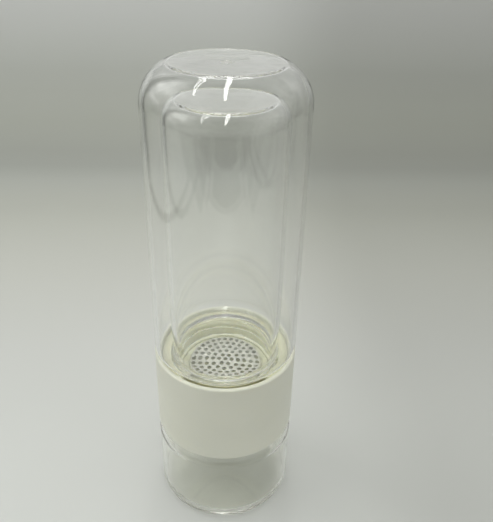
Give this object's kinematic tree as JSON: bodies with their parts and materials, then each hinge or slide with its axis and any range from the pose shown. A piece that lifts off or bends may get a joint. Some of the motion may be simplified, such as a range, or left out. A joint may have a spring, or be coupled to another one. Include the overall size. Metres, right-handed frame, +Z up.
{
  "type": "tea infuser bottle",
  "caption": "Tall cylindrical tea bottle: upturned double-wall glass flask screwed into a plastic collar with a steel strainer, over a screwed-on glass tea chamber.",
  "frame": {"origin": "centre of the foot of the tea chamber, on the surface that it stands on", "axes": "+Z up along the bottle's axis, from the tea chamber to the closed base of the upturned flask"},
  "size_m": [0.065, 0.065, 0.212],
  "materials": {
    "clear_glass": "clear borosilicate glass, polished",
    "ivory_plastic": "ivory moulded plastic, satin",
    "natural_plastic": "pale yellow-green moulded plastic",
    "pale_silicone": "pale translucent silicone",
    "stainless_steel": "pressed stainless sheet, satin"
  },
  "bodies": {
    "tea_chamber": {"tea_chamber": "clear_glass"},
    "chamber_gasket": {"chamber_gasket": "pale_silicone"},
    "collar": {"collar_sleeve": "ivory_plastic", "upper_insert": "natural_plastic", "lower_insert": "natural_plastic"},
    "strainer": {"strainer": "stainless_steel", "strainer_seal": "pale_silicone"},
    "flask_gasket": {"flask_gasket": "pale_silicone"},
    "flask": {"outer_jacket": "clear_glass", "inner_liner": "clear_glass"}
  },
  "joints": [
    {"name": "collar_turn", "type": "hinge", "parent": "tea_chamber", "child": "chamber_gasket", "pos_m": [0, 0, 0.0566], "axis": [0, 0, 1], "range_deg": [0, 360]},
    {"name": "collar_rise", "type": "slide", "parent": "chamber_gasket", "child": "collar", "axis": [0, 0, 1], "range_m": [0, 0.0045]},
    {"name": "strainer_lift", "type": "slide", "parent": "collar", "child": "strainer", "axis": [0, 0, 1], "range_m": [0, 0.02]},
    {"name": "flask_turn", "type": "hinge", "parent": "collar", "child": "flask_gasket", "pos_m": [0, 0, 0.0712], "axis": [0, 0, 1], "range_deg": [0, 360]},
    {"name": "flask_rise", "type": "slide", "parent": "flask_gasket", "child": "flask", "axis": [0, 0, 1], "range_m": [0, 0.0045]}
  ],
  "couplings": [
    {"joint": "collar_rise", "follows": "collar_turn", "m_per_rad": 0.000716},
    {"joint": "flask_rise", "follows": "flask_turn", "m_per_rad": 0.000716}
  ]
}
